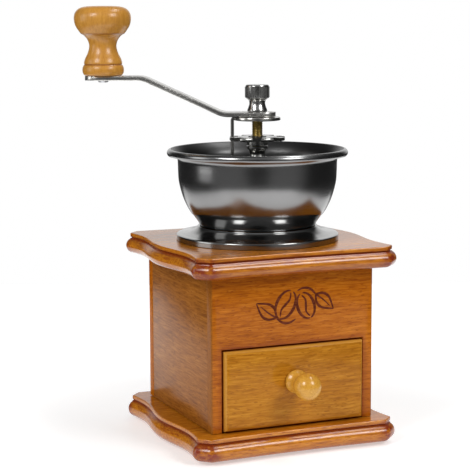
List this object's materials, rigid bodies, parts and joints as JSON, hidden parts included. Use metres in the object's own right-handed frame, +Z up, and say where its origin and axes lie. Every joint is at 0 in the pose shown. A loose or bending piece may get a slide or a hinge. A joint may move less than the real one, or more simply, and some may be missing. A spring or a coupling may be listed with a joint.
{
  "type": "burr coffee grinder",
  "caption": "Hand-cranked burr coffee grinder: square wooden case with a drawer, open metal hopper bowl, cranked arm with a turned wooden knob.",
  "frame": {"origin": "centre of the underside of the base pad, where the grinder stands", "axes": "+Z up along the spindle, -Y to the front with the drawer, +X to the right seen from the front"},
  "size_m": [0.1624, 0.139, 0.2515],
  "materials": {
    "honey_wood": "clear gloss lacquer over honey-brown stain",
    "drawer_wood": "bare sanded wood",
    "pale_wood": "turned and clear lacquered",
    "black_nickel": "polished dark nickel plate",
    "bright_steel": "bright nickel plate",
    "yellow_zinc": "yellow passivated zinc plate on steel",
    "cast_iron": "as cast and ground",
    "zinc_screw": "clear zinc plate",
    "nylon": "natural",
    "felt": "pressed felt"
  },
  "bodies": {
    "root": {"base_pad": "felt", "base_board": "honey_wood", "base_screw_1": "zinc_screw", "base_screw_2": "zinc_screw", "base_screw_3": "zinc_screw", "base_screw_4": "zinc_screw", "left_panel": "honey_wood", "right_panel": "honey_wood", "back_panel": "honey_wood", "front_panel": "honey_wood", "drawer_guide_left": "drawer_wood", "drawer_guide_right": "drawer_wood", "top_board": "honey_wood", "foot_ring": "black_nickel", "hopper_bowl": "black_nickel", "burr_housing": "cast_iron", "outer_burr": "cast_iron", "lower_bearing": "bright_steel", "lower_bearing_screw_1": "zinc_screw", "lower_bearing_screw_2": "zinc_screw", "bearing_bridge": "bright_steel", "upper_bush": "bright_steel", "bowl_screw_1": "zinc_screw", "bowl_screw_2": "zinc_screw", "bowl_screw_3": "zinc_screw", "bowl_screw_4": "zinc_screw"},
    "adjuster": {"adjusting_nut": "bright_steel", "burr_spring": "bright_steel"},
    "spindle": {"spindle": "yellow_zinc", "spring_washer": "bright_steel", "inner_burr": "cast_iron", "burr_nut": "zinc_screw", "stop_plate": "bright_steel", "crank_arm": "bright_steel", "cap_nut": "bright_steel", "knob_pin": "zinc_screw"},
    "knob": {"crank_knob": "pale_wood", "knob_bush": "nylon"},
    "drawer": {"drawer_front": "honey_wood", "drawer_bottom": "drawer_wood", "drawer_side_left": "drawer_wood", "drawer_side_right": "drawer_wood", "drawer_back": "drawer_wood", "drawer_knob": "pale_wood", "drawer_knob_screw": "zinc_screw"}
  },
  "joints": [
    {"name": "crank_spin", "type": "hinge", "parent": "root", "child": "adjuster", "pos_m": [0, 0, 0.171], "axis": [0, 0, 1], "continuous": true},
    {"name": "grind_adjust", "type": "slide", "parent": "adjuster", "child": "spindle", "axis": [0, 0, 1], "range_m": [0, 0.0015], "deforming": ["burr_spring"]},
    {"name": "knob_spin", "type": "hinge", "parent": "spindle", "child": "knob", "pos_m": [-0.08112, 0.03782, 0.2113], "axis": [0, 0, 1], "continuous": true},
    {"name": "drawer_slide", "type": "slide", "parent": "root", "child": "drawer", "axis": [0, -1, 0], "range_m": [0, 0.075]}
  ]
}
